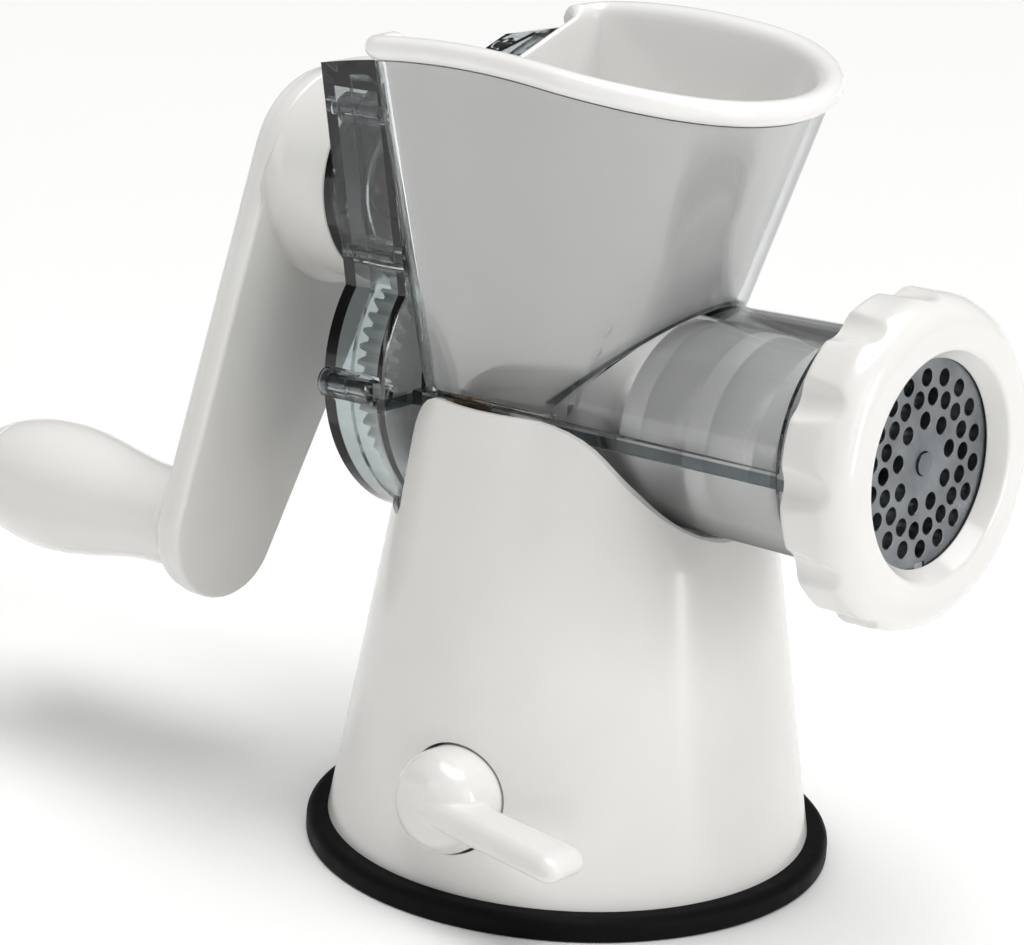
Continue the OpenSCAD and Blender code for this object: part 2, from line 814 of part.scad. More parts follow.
module gear_view(teeth, first) {
    pitch_r = gear_module * teeth / 2;
    base_r = pitch_r * cos(pressure_angle);
    root_r = pitch_r - 1.25 * gear_module;
    tip_r = pitch_r + gear_module;
    flank_r = max(root_r, base_r);
    half_tooth = 90 / teeth + involute(pressure_angle) - backlash / 4 / pitch_r * 180 / PI;
    flank = [for (i = [0:3]) let (r = flank_r + (tip_r - flank_r) * i / 3)
        [r, half_tooth - involute(acos(base_r / r))]];
    side = concat([[root_r, half_tooth - involute(acos(base_r / flank_r)) + eps]], flank);
    polygon([for (tooth = [0:teeth - 1]) let (middle = first + tooth * 360 / teeth) each concat(
        [for (p = side) p.x * [cos(middle - p.y), sin(middle - p.y)]],
        [for (i = [len(side) - 1:-1:0]) side[i].x * [cos(middle + side[i].y), sin(middle + side[i].y)]])]);
}

module square_bar(side, from, to, z = 0) {
    block([from, -side / 2, z - side / 2], [to, side / 2, z + side / 2]);
}

module crank_bush() {
    color(bronze) pitched() difference() {
        union() {
            bar_x(crank_bush_r, collar_rear_x + free_gap, bush_front_x, 0, crank_z);
            bar_x(crank_bush_r + 2, bush_front_x, bush_front_x + bush_flange_t, 0, crank_z);
        }
        bar_x(crank_shaft_r + run_gap, -far, far, 0, crank_z);
    }
}

module crank_shaft() {
    color(steel) pitched() difference() {
        union() {
            square_bar(square_side, shaft_rear_x, hub_front_x + free_gap, crank_z);
            bar_x(crank_shaft_r, hub_front_x + free_gap, gear_rear_x - 0.1, 0, crank_z);
            square_bar(square_side, gear_rear_x - 0.1, gear_front_x, crank_z);
            bar_x(crank_end_r, gear_front_x, crank_end_x - free_gap, 0, crank_z);
        }
        bar_x(crank_screw_r, shaft_rear_x - past, crank_seat_x + crank_screw_len + 1.5, 0, crank_z);
    }
}

module drive_pinion() {
    color(white) pitched() difference() {
        translate([0, 0, crank_z]) along_x(gear_rear_x, gear_front_x)
            gear_view(pinion_teeth, -90 + 180 / pinion_teeth);
        square_bar(square_side + 2 * square_gap, -far, far, crank_z);
    }
}

module drive_gear() {
    gear_r = gear_module * gear_teeth / 2;
    web_t = 3.5;
    color(white) pitched() difference() {
        union() {
            along_x(gear_rear_x, gear_front_x) gear_view(gear_teeth, 90);
            bar_x(journal_r, gear_front_x - eps, case_front_x - 0.2);
        }
        difference() {
            bar_x(gear_r - 4, gear_rear_x - past, gear_front_x - web_t);
            bar_x(journal_r + 2, gear_rear_x - past, gear_front_x);
        }
        hexagon(hex_af + 2 * square_gap, gear_rear_x + 2, far);
    }
}

module hexagon(af, from, to) {
    translate([from, 0, 0]) rotate([0, 90, 0]) cylinder(r = af / sqrt(3), h = to - from, $fn = 6);
}

module hub_seal() {
    color(rubber) pitched() difference() {
        bar_x(seal_r - run_gap, seal_x, bore_rear_x - 0.2);
        bar_x(journal_r + 0.1, -far, far);
    }
}

module thrust_washer() {
    color(bronze) pitched() difference() {
        bar_x(journal_r + 5, bore_rear_x + 0.2, washer_front_x);
        bar_x(hex_af * 0.62, -far, far);
    }
}

// Auger, knife, plate and ring nut
washer_front_x = bore_rear_x + 1.4;
auger_rear_x = washer_front_x + 0.2;
flight_rear_x = auger_rear_x + 2.2;
knife_front_x = plate_back_x - free_gap;
knife_rear_x = knife_front_x - knife_t;
auger_front_x = knife_rear_x - 0.2;
flight_t = 3.6;
flight_root_r = 6;
flight_start = 0;
flight_steps = 18;
pin_seat = 14;

module flight_view() {
    sweep = 360 * flight_t / auger_lead;
    polygon(concat(
        arc([0, 0], auger_r, flight_start - sweep / 2, flight_start + sweep / 2, 6),
        [flight_root_r * [cos(flight_start + sweep / 2), sin(flight_start + sweep / 2)]],
        [flight_root_r * [cos(flight_start), sin(flight_start)]],
        [flight_root_r * [cos(flight_start - sweep / 2), sin(flight_start - sweep / 2)]]));
}

module auger() {
    flight_len = auger_front_x - 2 - flight_rear_x;
    turns = flight_len / auger_lead;
    color(white) pitched() difference() {
        union() {
            translate([auger_rear_x, 0, 0]) rotate([0, 90, 0])
                cylinder(r1 = auger_core_rear, r2 = auger_core_front, h = auger_front_x - auger_rear_x);
            translate([flight_rear_x, 0, 0]) rotate([0, 90, 0])
                linear_extrude(flight_len, twist = 360 * turns, slices = round(turns * flight_steps), $fn = 9)
                    flight_view();
            hexagon(hex_af, gear_rear_x + 3, auger_rear_x + eps);
        }
        square_bar(knife_square + 2 * square_gap, auger_front_x - pin_seat, far);
    }
}

module auger_pin() {
    color(steel) pitched() {
        square_bar(knife_square, auger_front_x - pin_seat + free_gap, knife_front_x);
        bar_x(auger_pin_r, knife_front_x - eps, plate_x + 0.6);
    }
}

module knife() {
    hub = 9;
    color(steel) pitched() difference() {
        union() {
            bar_x(hub, knife_rear_x, knife_front_x);
            along_x(knife_rear_x, knife_front_x) for (turn = [0:90:270])
                rotate(turn) polygon([[0, -3], [knife_r - 3, -4.5], [knife_r, -3], [knife_r - 1.5, 2.5], [0, 4]]);
        }
        square_bar(knife_square + 2 * square_gap, -far, far);
    }
}

module perforated_plate() {
    hole_rings = [[9, 10.4, 10], [18, 16, 0], [18, 20.8, 10]];
    color(steel) pitched() difference() {
        bar_x(plate_r, plate_back_x, plate_x);
        bar_x(auger_pin_r + 0.1, -far, far);
        along_x(plate_back_x - past, plate_x + past) for (row = hole_rings)
            around(row[0], row[1], row[2]) circle(r = plate_hole_r, $fn = 24);
        block([-far, -key_w / 2 - 0.2, -far], [far, key_w / 2 + 0.2, key_depth + 0.2 - plate_r]);
    }
}

module ring_nut() {
    lip_x = plate_x + free_gap;
    edge_r = 8;
    lean = atan((flute_depth - 0.5) / (nut_front_x - nut_rear_x));
    color(white) pitched() difference() {
        turned_x() polygon(rounded([
            [nut_rear_x, collar_r + free_gap, 0],
            [nut_rear_x, nut_r, 2.5],
            [nut_front_x, nut_r, edge_r],
            [nut_front_x, nut_mouth_r + 3, 1.2],
            [lip_x, nut_mouth_r, 0],
            [lip_x, collar_r + free_gap, 0]], 8));
        for (i = [0:nut_flutes - 1])
            rotate([i * 360 / nut_flutes, 0, 0])
                translate([nut_rear_x, 0, nut_r + flute_r - flute_depth]) rotate([0, 90 - lean, 0])
                    translate([0, 0, -past]) cylinder(r = flute_r, h = far);
    }
}

// Liner: a funnel that hangs in the hopper by its rolled rim
liner_gap = hopper_wall + free_gap;
rim_end_w = 33;
liner_sink = 1.2;

module hopper_liner() {
    color(white) pitched() difference() {
        union() {
            intersection() {
                under_arch(liner_sink);
                hopper_loft(-liner_gap);
            }
            intersection() {
                difference() {
                    under_arch(0);
                    under_arch(rim_h - free_gap);
                    block([-far, -rim_end_w, 0], [notch_front_x, rim_end_w, far]);
                }
                hopper_loft(rim_over);
            }
        }
        hopper_loft(-liner_gap - liner_t);
        rear_notch(liner_sink);
        block([-far, -far, -far], [far, far, free_gap]);
        bar_x(bore_r + free_gap, -far, far);
    }
}

// Crank arm with its hub, and the grip that spins on its pin
hub_wall = 2.5;
hub_core_r = 9;
arm_rear_x = hub_rear_x - arm_t;
arm_step = 0.5;
grip_boss_t = 3;
grip_x = arm_rear_x - grip_boss_t - free_gap;
pin_root_x = hub_rear_x - 2.5;
pin_head_x = grip_x - grip_len * 0.62;
pin_head_t = 3;
pin_head_r = 7;

module arm_view(inset) {
    strap([0, crank_z], hub_r - inset, [arm_end_y, arm_end_z], arm_end_r - inset);
}

module crank_arm() {
    color(white) pitched() difference() {
        union() {
            along_x(hub_rear_x - arm_t / 2, hub_rear_x) arm_view(0);
            along_x(arm_rear_x, hub_rear_x - arm_t / 2 + eps) arm_view(arm_step);
            difference() {
                bar_x(hub_r - arm_step, hub_rear_x - eps, hub_front_x, 0, crank_z);
                bar_x(hub_r - hub_wall, hub_rear_x, hub_front_x + past, 0, crank_z);
            }
            bar_x(hub_core_r, hub_rear_x - eps, hub_front_x, 0, crank_z);
            bar_x(grip_neck_r, arm_rear_x - grip_boss_t, arm_rear_x + eps, arm_end_y, arm_end_z);
        }
        square_bar(square_side + 2 * square_gap, shaft_rear_x, far, crank_z);
        bar_x(crank_screw_r + free_gap, -far, shaft_rear_x + eps, 0, crank_z);
        bar_x(crank_screw_head.x + free_gap, -far, crank_seat_x, 0, crank_z);
        bar_x(grip_pin_r, -far, pin_root_x, arm_end_y, arm_end_z);
    }
}

module crank_screw() {
    color(steel) pitched() translate([crank_seat_x, 0, crank_z]) rotate([0, 90, 0])
        screw(crank_screw_r - run_gap, crank_screw_len, crank_screw_head.x, crank_screw_head.y);
}

function grip_r(t) = let (
    neck_end = 0.12,
    belly = 0.6,
    u = (t - neck_end) / (belly - neck_end),
    v = (t - belly) / (1 - belly))
    t < neck_end ? grip_neck_r
    : t < belly ? grip_neck_r + (grip_belly_r - grip_neck_r) * (1 - cos(180 * u)) / 2
    : grip_belly_r * sqrt(max(0, 1 - v * v));

module grip_turned(from, to, steps) {
    translate([grip_x, arm_end_y, arm_end_z]) turned_x() polygon(concat(
        [[-from * grip_len, 0]],
        [for (i = [0:steps]) let (t = from + (to - from) * i / steps) [-t * grip_len, grip_r(t)]],
        to < 1 ? [[-to * grip_len, 0]] : []));
}

grip_seam = 1 - grip_cap_len / grip_len;
grip_seam_x = grip_x - grip_seam * grip_len;

module grip() {
    color(white) pitched() difference() {
        grip_turned(0, grip_seam, 24);
        bar_x(grip_pin_r + run_gap, -far, far, arm_end_y, arm_end_z);
        bar_x(pin_head_r + 1, -far, pin_head_x, arm_end_y, arm_end_z);
    }
}

module grip_pin() {
    color(steel) pitched() {
        bar_x(grip_pin_r - run_gap, pin_head_x - free_gap, pin_root_x - free_gap, arm_end_y, arm_end_z);
        bar_x(pin_head_r, pin_head_x - free_gap - pin_head_t, pin_head_x - free_gap, arm_end_y, arm_end_z);
    }
}

module grip_cap() {
    scoop_r = 16;
    scoop_depth = 1.2;
    color(white) pitched() difference() {
        union() {
            grip_turned(grip_seam, 1, 16);
            bar_x(pin_head_r + 1 - run_gap, grip_seam_x - eps, grip_seam_x + 5, arm_end_y, arm_end_z);
        }
        for (turn = [0:90:270])
            translate([grip_x - 0.9 * grip_len, arm_end_y, arm_end_z]) rotate([turn, 0, 0]) rotate([0, -35, 0])
                translate([0, 0, grip_r(0.9) * 0.86 + scoop_r - scoop_depth]) sphere(r = scoop_r);
    }
}

base_shell();
foot_ring();
suction_membrane();
guide_plate();
guide_screws();
plunger();
cam_shaft();
shaft_clip();
suction_lever();
grinder_body();
body_screws();
gear_cover();
cover_screws();
crank_bush();
crank_shaft();
drive_pinion();
drive_gear();
hub_seal();
thrust_washer();
auger();
auger_pin();
knife();
perforated_plate();
ring_nut();
hopper_liner();
crank_arm();
crank_screw();
grip();
grip_pin();
grip_cap();
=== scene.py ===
import json
import math

import bmesh
import bpy
from mathutils import Matrix, Vector


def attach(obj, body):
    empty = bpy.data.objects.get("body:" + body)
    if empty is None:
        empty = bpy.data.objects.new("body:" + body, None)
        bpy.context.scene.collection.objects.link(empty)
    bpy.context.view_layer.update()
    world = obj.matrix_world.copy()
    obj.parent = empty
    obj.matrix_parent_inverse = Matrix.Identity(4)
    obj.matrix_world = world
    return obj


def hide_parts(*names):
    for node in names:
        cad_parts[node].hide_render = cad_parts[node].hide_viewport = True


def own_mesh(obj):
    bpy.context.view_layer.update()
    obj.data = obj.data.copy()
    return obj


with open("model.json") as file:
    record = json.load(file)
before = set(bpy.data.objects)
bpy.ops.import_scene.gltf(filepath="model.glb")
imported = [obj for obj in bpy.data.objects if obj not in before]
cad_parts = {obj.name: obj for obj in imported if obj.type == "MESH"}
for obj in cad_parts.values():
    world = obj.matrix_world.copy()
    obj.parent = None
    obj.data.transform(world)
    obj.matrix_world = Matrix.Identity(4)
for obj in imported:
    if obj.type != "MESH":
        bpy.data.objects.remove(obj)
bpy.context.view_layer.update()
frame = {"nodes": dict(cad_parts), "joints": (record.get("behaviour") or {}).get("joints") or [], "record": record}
joints = {joint["name"]: joint for joint in frame["joints"]}
mm = 0.001
print("stage: frame loaded")


# Node and colour helpers
def linear(hexCode):
    channels = [int(hexCode[i:i + 2], 16) / 255 for i in (1, 3, 5)]
    return tuple(c / 12.92 if c <= 0.04045 else ((c + 0.055) / 1.055) ** 2.4 for c in channels) + (1.0,)


def addNode(tree, kind, inputs=None, **settings):
    node = tree.nodes.new(kind)
    for name, value in settings.items():
        setattr(node, name, value)
    for name, value in (inputs or {}).items():
        node.inputs[name].default_value = value
    return node


def newMaterial(name, **shaderInputs):
    material = bpy.data.materials.new(name)
    material.use_nodes = True
    tree = material.node_tree
    shader = tree.nodes["Principled BSDF"]
    for label, value in shaderInputs.items():
        shader.inputs[label.replace("_", " ")].default_value = value
    coordinates = addNode(tree, "ShaderNodeTexCoord")
    return material, tree, shader, coordinates.outputs["Object"]


def grainNode(tree, coordinates, scale, detail=2.0):
    noise = addNode(tree, "ShaderNodeTexNoise", {"Scale": scale, "Detail": detail})
    tree.links.new(coordinates, noise.inputs["Vector"])
    return noise.outputs["Fac"]


def rangeNode(tree, source, low, high, fromLow=0.3, fromHigh=0.7):
    remap = addNode(tree, "ShaderNodeMapRange", {
        "From Min": fromLow, "From Max": fromHigh, "To Min": low, "To Max": high})
    tree.links.new(source, remap.inputs["Value"])
    return remap.outputs["Result"]


def mixColours(tree, factor, first, second):
    mix = addNode(tree, "ShaderNodeMix", data_type="RGBA")
    mix.inputs["A"].default_value = linear(first)
    mix.inputs["B"].default_value = linear(second)
    tree.links.new(factor, mix.inputs["Factor"])
    return mix.outputs["Result"]


def multiplied(tree, first, second):
    product = addNode(tree, "ShaderNodeMath", operation="MULTIPLY")
    tree.links.new(first, product.inputs[0])
    tree.links.new(second, product.inputs[1])
    return product.outputs["Value"]


def scaledSum(tree, source, factor, addend):
    total = addNode(tree, "ShaderNodeMath", {1: factor}, operation="MULTIPLY_ADD")
    tree.links.new(source, total.inputs[0])
    if isinstance(addend, (int, float)):
        total.inputs[2].default_value = addend
    else:
        tree.links.new(addend, total.inputs[2])
    return total.outputs["Value"]


def distance(tree, across, upward):
    point = addNode(tree, "ShaderNodeCombineXYZ")
    tree.links.new(across, point.inputs["Y"])
    tree.links.new(upward, point.inputs["Z"])
    length = addNode(tree, "ShaderNodeVectorMath", operation="LENGTH")
    tree.links.new(point.outputs["Vector"], length.inputs[0])
    return length.outputs["Value"]


def blended(tree, first, second):
    whole = addNode(tree, "ShaderNodeMix", {"Factor": 1.0}, data_type="RGBA", blend_type="MULTIPLY")
    tree.links.new(first, whole.inputs["A"])
    tree.links.new(second, whole.inputs["B"])
    return whole.outputs["Result"]


def addBump(tree, shader, height, distance, strength=1.0):
    bump = addNode(tree, "ShaderNodeBump", {"Strength": strength, "Distance": distance})
    tree.links.new(height, bump.inputs["Height"])
    tree.links.new(bump.outputs["Normal"], shader.inputs["Normal"])


# Materials
def makeWhiteGloss(name, dark, light):
    material, tree, shader, place = newMaterial(name, IOR=1.53)
    mottle = grainNode(tree, place, 18.0, 3.0)
    tree.links.new(mixColours(tree, rangeNode(tree, mottle, 0, 1), dark, light), shader.inputs["Base Color"])
    polish = grainNode(tree, place, 260.0, 4.0)
    tree.links.new(rangeNode(tree, polish, 0.13, 0.21), shader.inputs["Roughness"])
    addBump(tree, shader, grainNode(tree, place, 900.0, 2.0), 0.00001, 0.25)
    return material


def makeWhiteNylon():
    material, tree, shader, place = newMaterial("white_nylon", IOR=1.53)
    mottle = grainNode(tree, place, 40.0, 3.0)
    tree.links.new(mixColours(tree, rangeNode(tree, mottle, 0, 1), "#F0F0EF", "#F7F7F6"), shader.inputs["Base Color"])
    tree.links.new(rangeNode(tree, grainNode(tree, place, 300.0), 0.38, 0.52), shader.inputs["Roughness"])
    addBump(tree, shader, grainNode(tree, place, 1500.0), 0.00002, 0.3)
    return material


def makeClearSmoke():
    material, tree, shader, place = newMaterial("clear_smoke_plastic", IOR=1.49, Transmission_Weight=1.0)
    lift = addNode(tree, "ShaderNodeVectorMath", operation="DOT_PRODUCT")
    lift.inputs[1].default_value = (-0.05234, 0, 0.99863)
    tree.links.new(place, lift.inputs[0])
    height = lift.outputs["Value"]
    split = addNode(tree, "ShaderNodeSeparateXYZ")
    tree.links.new(place, split.inputs["Vector"])
    # Towards the gear case the clear plastic is coloured darker: painted shade for the case's dark look, on one and the
    # same moulding
    forward = rangeNode(tree, split.outputs["X"], 0, 1, -0.041, -0.036)
    tint = mixColours(tree, forward, "#D2D8D9", "#FAFBFB")
    below = rangeNode(tree, height, 1, 0, 0.1196, 0.1199)  # painted shade: the side rail's lower part, 1.2 mm under its top, is coloured dark
    above = rangeNode(tree, height, 0, 1, 0.1165, 0.1168)
    side = addNode(tree, "ShaderNodeMath", operation="ABSOLUTE")
    tree.links.new(split.outputs["Y"], side.inputs[0])
    outer = rangeNode(tree, side.outputs["Value"], 0, 1, 0.0297, 0.0299)
    railPaintedShade = multiplied(tree, multiplied(tree, below, above), multiplied(tree, outer, forward))
    upward = scaledSum(tree, height, 1, -0.12083)
    ahead = addNode(tree, "ShaderNodeVectorMath", operation="DOT_PRODUCT")
    ahead.inputs[1].default_value = (0.99863, 0, 0.05234)
    tree.links.new(place, ahead.inputs[0])
    along = scaledSum(tree, ahead.outputs["Value"], 1, -0.00633)
    beyond = scaledSum(tree, along, -0.0172, distance(tree, split.outputs["Y"], upward))  # outside the tapered barrel
    centred = scaledSum(tree, upward, -0.2141, scaledSum(tree, along, 1, -0.0014))
    skin = scaledSum(tree, upward, -0.1859, distance(tree, split.outputs["Y"], centred))  # on the hopper's outer face
    # Painted shade: a dark line along the crease where the hopper meets the barrel
    joint = multiplied(tree, rangeNode(tree, beyond, 0, 1, 0.02748, 0.02758), rangeNode(tree, beyond, 1, 0, 0.0284, 0.0288))
    joint = multiplied(tree, joint, multiplied(tree, rangeNode(tree, upward, 0, 1, 0.0017, 0.0037),
                                               rangeNode(tree, skin, 0, 1, 0.0271, 0.0273)))
    joint = multiplied(tree, joint, rangeNode(tree, along, 0, 1, 0.0085, 0.0095))
    # Darker towards grazing angles: partly the longer path through the smoky plastic, partly painted shade for the dark
    # edges of the clear walls
    grazing = addNode(tree, "ShaderNodeLayerWeight", {"Blend": 0.7})
    edgeAbsorptionAndShade = mixColours(tree, rangeNode(tree, grazing.outputs["Facing"], 0, 1, 0.74, 0.97), "#FFFFFF", "#303A3D")
    # Painted shade: the dark rail band and the dark crease line darken the plastic's colour
    dark = blended(tree, mixColours(tree, railPaintedShade, "#FFFFFF", "#39454A"), mixColours(tree, joint, "#FFFFFF", "#454F52"))
    colour = blended(tree, blended(tree, tint, edgeAbsorptionAndShade), dark)
    tree.links.new(colour, shader.inputs["Base Color"])
    frosted = multiplied(tree, rangeNode(tree, height, 1, 0, 0.1155, 0.1166), forward)
    polish = rangeNode(tree, grainNode(tree, place, 200.0, 3.0), 0.01, 0.035)
    haze = addNode(tree, "ShaderNodeMath", operation="MULTIPLY_ADD")
    haze.inputs[1].default_value = 0.3
    tree.links.new(frosted, haze.inputs[0])
    tree.links.new(polish, haze.inputs[2])
    tree.links.new(haze.outputs["Value"], shader.inputs["Roughness"])
    addBump(tree, shader, grainNode(tree, place, 40.0, 1.0), 0.00001, 0.1)
    return material


def makeSteel():
    material, tree, shader, place = newMaterial("ground_steel", Metallic=1.0)
    stain = grainNode(tree, place, 90.0, 4.0)
    tree.links.new(mixColours(tree, rangeNode(tree, stain, 0, 1), "#6E7275", "#8A8E91"), shader.inputs["Base Color"])
    tree.links.new(rangeNode(tree, grainNode(tree, place, 700.0, 4.0), 0.26, 0.42), shader.inputs["Roughness"])
    addBump(tree, shader, grainNode(tree, place, 2500.0, 2.0), 0.00001, 0.4)
    return material


def makeBronze():
    material, tree, shader, place = newMaterial("sintered_bronze", Metallic=1.0)
    stain = grainNode(tree, place, 200.0, 4.0)
    tree.links.new(mixColours(tree, rangeNode(tree, stain, 0, 1), "#8C6A3F", "#A88450"), shader.inputs["Base Color"])
    tree.links.new(rangeNode(tree, stain, 0.35, 0.5), shader.inputs["Roughness"])
    addBump(tree, shader, grainNode(tree, place, 3000.0), 0.00002, 0.5)
    return material


def makeRubber():
    material, tree, shader, place = newMaterial("black_rubber", IOR=1.52, Specular_IOR_Level=0.1)
    dust = grainNode(tree, place, 120.0, 5.0)
    tree.links.new(mixColours(tree, rangeNode(tree, dust, 0, 1), "#050506", "#0C0C0D"), shader.inputs["Base Color"])
    tree.links.new(rangeNode(tree, dust, 0.5, 0.68), shader.inputs["Roughness"])
    addBump(tree, shader, grainNode(tree, place, 1800.0, 3.0), 0.00003, 0.5)
    return material


materials = {
    "white_gloss": makeWhiteGloss("white_moulded_abs", "#E3E1DE", "#E9E8E5"),
    "white_nylon": makeWhiteNylon(),
    "clear_smoke": makeClearSmoke(),
    "steel": makeSteel(),
    "bronze": makeBronze(),
    "black_rubber": makeRubber(),
}
slotOf = {row["node"]: row["material_slot"] for row in frame["record"]["subparts"]}
for name, part in frame["nodes"].items():
    part.data.materials.clear()
    part.data.materials.append(materials[slotOf[name]])
print("stage: materials")

# Shape helpers, in millimetres
def pointOnCircle(centre, radius, degrees):
    return (centre[0] + radius * math.cos(math.radians(degrees)), centre[1] + radius * math.sin(math.radians(degrees)))


def arcPoints(centre, radius, start, end, steps):
    return [pointOnCircle(centre, radius, start + (end - start) * i / steps) for i in range(steps + 1)]


def roundedOutline(corners, steps=5):
    points = []
    for i, (x, y, radius) in enumerate(corners):
        corner = Vector((x, y))
        before = (Vector(corners[i - 1][:2]) - corner).normalized()
        after = (Vector(corners[(i + 1) % len(corners)][:2]) - corner).normalized()
        if radius <= 0:
            points.append((x, y))
            continue
        half = before.angle(after) / 2
        centre = corner + (before + after).normalized() * radius / math.sin(half)
        start, end = (corner + side * radius / math.tan(half) - centre for side in (before, after))
        first = math.degrees(math.atan2(start.y, start.x))
        turn = (math.degrees(math.atan2(end.y, end.x)) - first + 540) % 360 - 180
        points += arcPoints(centre, radius, first, first + turn, steps)
    return points


def densified(points, longest, closed=True):
    dense = []
    for a, b in zip(points, points[1:] + (points[:1] if closed else [])):
        span = Vector(b) - Vector(a)
        count = max(1, math.ceil(span.length / longest))
        dense += [tuple(Vector(a) + span * i / count) for i in range(count)]
    return dense if closed else dense + [tuple(points[-1])]


def softLarger(value, limit, softness):
    gap = (value - limit) / softness
    return limit + softness * (gap if gap > 30 else math.log1p(math.exp(gap)))


def bandStrap(first, firstRadius, second, secondRadius, steps=28):
    span = Vector(second) - Vector(first)
    heading = math.degrees(math.atan2(span.y, span.x))
    lean = math.degrees(math.acos((firstRadius - secondRadius) / span.length))
    ends = arcPoints(second, secondRadius, heading - lean, heading + lean, steps)
    ends += arcPoints(first, firstRadius, heading + lean, heading + 360 - lean, steps)
    sides = []
    for a, b in zip(ends, ends[1:] + ends[:1]):
        sides.append(a)
        if (Vector(b) - Vector(a)).length > span.length / 2:
            sides += [tuple(Vector(a).lerp(Vector(b), i / steps)) for i in range(1, steps)]
    return sides


# Mesh helpers: rows are lists of points of equal length
def addLattice(mesh, rows, closeRows=False, closeColumns=True, caps=()):
    grid = [[mesh.verts.new(point) for point in row] for row in rows]
    rowPairs = list(zip(grid, grid[1:])) + ([(grid[-1], grid[0])] if closeRows else [])
    for upper, lower in rowPairs:
        columns = range(len(upper) if closeColumns else len(upper) - 1)
        for i in columns:
            j = (i + 1) % len(upper)
            mesh.faces.new((upper[i], upper[j], lower[j], lower[i]))
    for end in caps:
        mesh.faces.new(grid[end])
    return grid


def turnedRows(profile, steps):
    rows = []
    for i in range(steps):
        angle = 2 * math.pi * i / steps
        rows.append([Vector((x, r * math.cos(angle), r * math.sin(angle))) for x, r in profile])
    return rows


def newPiece(name, mesh, slot, body, nodes, place=None, sharp=40, turnOut=True):
    bmesh.ops.remove_doubles(mesh, verts=mesh.verts, dist=0.0005)
    if turnOut:
        bmesh.ops.recalc_face_normals(mesh, faces=mesh.faces)
    mesh.transform((place or Matrix.Identity(4)) @ Matrix.Scale(mm, 4))
    data = bpy.data.meshes.new(name)
    mesh.to_mesh(data)
    mesh.free()
    data.shade_smooth()
    data.set_sharp_from_angle(angle=math.radians(sharp))
    data.materials.append(materials[slot])
    piece = bpy.data.objects.new(name, data)
    bpy.context.scene.collection.objects.link(piece)
    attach(piece, body)
    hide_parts(*nodes)
    return piece


# The clear body's own frame: x along the barrel, z square to it, origin on the barrel's axis
barrelAxis = Vector(joints["auger_turn"]["axis"])
pitchAngle = math.atan2(barrelAxis.z, barrelAxis.x)
barrelPlace = Matrix.Translation(joints["auger_turn"]["pos_m"]) @ Matrix.Rotation(-pitchAngle, 4, "Y")
crankRise = (barrelPlace.inverted() @ Vector(joints["crank_turn"]["pos_m"])).z / mm
gripSpot = (barrelPlace.inverted() @ Vector(joints["grip_spin"]["pos_m"])) / mm
spot = (gripSpot.y, gripSpot.z)

# Ring nut with scooped finger flutes
nut = {"rear": 89, "front": 107.2, "outer": 40.5, "mouth": 25, "lip": 102, "bore": 31.5, "flutes": 12,
       "fluteRadius": 7, "fluteDepth": 3, "fluteFade": 21}


def nutDent(point):
    spacing = 2 * math.pi / nut["flutes"]
    turn = round(math.atan2(point.z, point.y) / spacing) * spacing
    outward = Vector((0, math.cos(turn), math.sin(turn)))
    lean = math.atan2(nut["fluteDepth"], nut["fluteFade"])
    along = Vector((math.cos(lean), 0, 0)) + outward * math.sin(lean)
    start = Vector((nut["rear"], 0, 0)) + outward * (nut["outer"] + nut["fluteRadius"] - nut["fluteDepth"])
    offset = point - start
    offset -= along * offset.dot(along)
    distance = offset.length
    return point + offset.normalized() * (softLarger(distance, nut["fluteRadius"], 0.35) - distance)


def makeRingNut():
    profile = densified(roundedOutline([
        (nut["rear"], nut["bore"], 0.5),
        (nut["rear"], nut["outer"], 2.5),
        (nut["front"], nut["outer"], 8),
        (nut["front"], nut["mouth"] + 3, 1.6),
        (nut["lip"], nut["mouth"], 0.3),
        (nut["lip"], nut["bore"], 0)], 8), 0.9)
    rows = [[nutDent(p) if math.hypot(p.y, p.z) > nut["bore"] + 2 else p for p in row]
            for row in turnedRows(profile, nut["flutes"] * 30)]
    mesh = bmesh.new()
    addLattice(mesh, rows, closeRows=True)
    newPiece("ring_nut_moulded", mesh, "white_gloss", "nut", ["ring_nut"], barrelPlace, sharp=60)


makeRingNut()

# Grip with its scooped cap
gripShape = {"start": -99.3, "length": 85, "neck": 13, "belly": 17.7, "neckEnd": 0.12, "bellyAt": 0.6, "seam": 0.8,
             "scoopRadius": 16, "scoopDepth": 1.2, "scoopAt": 0.9, "scoopTilt": 35, "groove": 0.45}


def gripRadius(t):
    g = gripShape
    if t < g["neckEnd"]:
        return g["neck"]
    if t < g["bellyAt"]:
        u = (t - g["neckEnd"]) / (g["bellyAt"] - g["neckEnd"])
        return g["neck"] + (g["belly"] - g["neck"]) * (1 - math.cos(math.pi * u)) / 2
    v = (t - g["bellyAt"]) / (1 - g["bellyAt"])
    return g["belly"] * math.sqrt(max(0, 1 - v * v))


def gripDent(point):
    g = gripShape
    turn = round(math.atan2(point.z, point.y) / (math.pi / 2)) * math.pi / 2
    reach = gripRadius(g["scoopAt"]) * 0.86 + g["scoopRadius"] - g["scoopDepth"]
    tilt = math.radians(g["scoopTilt"])
    across = reach * math.cos(tilt)
    centre = Vector((-g["scoopAt"] * g["length"] - reach * math.sin(tilt), across * math.cos(turn), across * math.sin(turn)))
    offset = point - centre
    return centre + offset.normalized() * softLarger(offset.length, g["scoopRadius"], 0.25)


def gripRows(start, end, steps, lowEdge, highEdge):
    g = gripShape
    profile = [(-start * g["length"], 0)]
    for i in range(steps + 1):
        share = i / steps
        t = start + (end - start) * share
        fromStart, toEnd = (t - start) * g["length"], (end - t) * g["length"]
        ease = sum(max(0, 1 - away / edge) ** 2 * edge * 0.6
                   for away, edge in ((fromStart, lowEdge), (toEnd, highEdge)) if edge)
        profile.append((-t * g["length"], max(0, gripRadius(t) - ease)))
    if end < 1:
        profile.append((-end * g["length"], 0))
    return turnedRows(profile, 120)


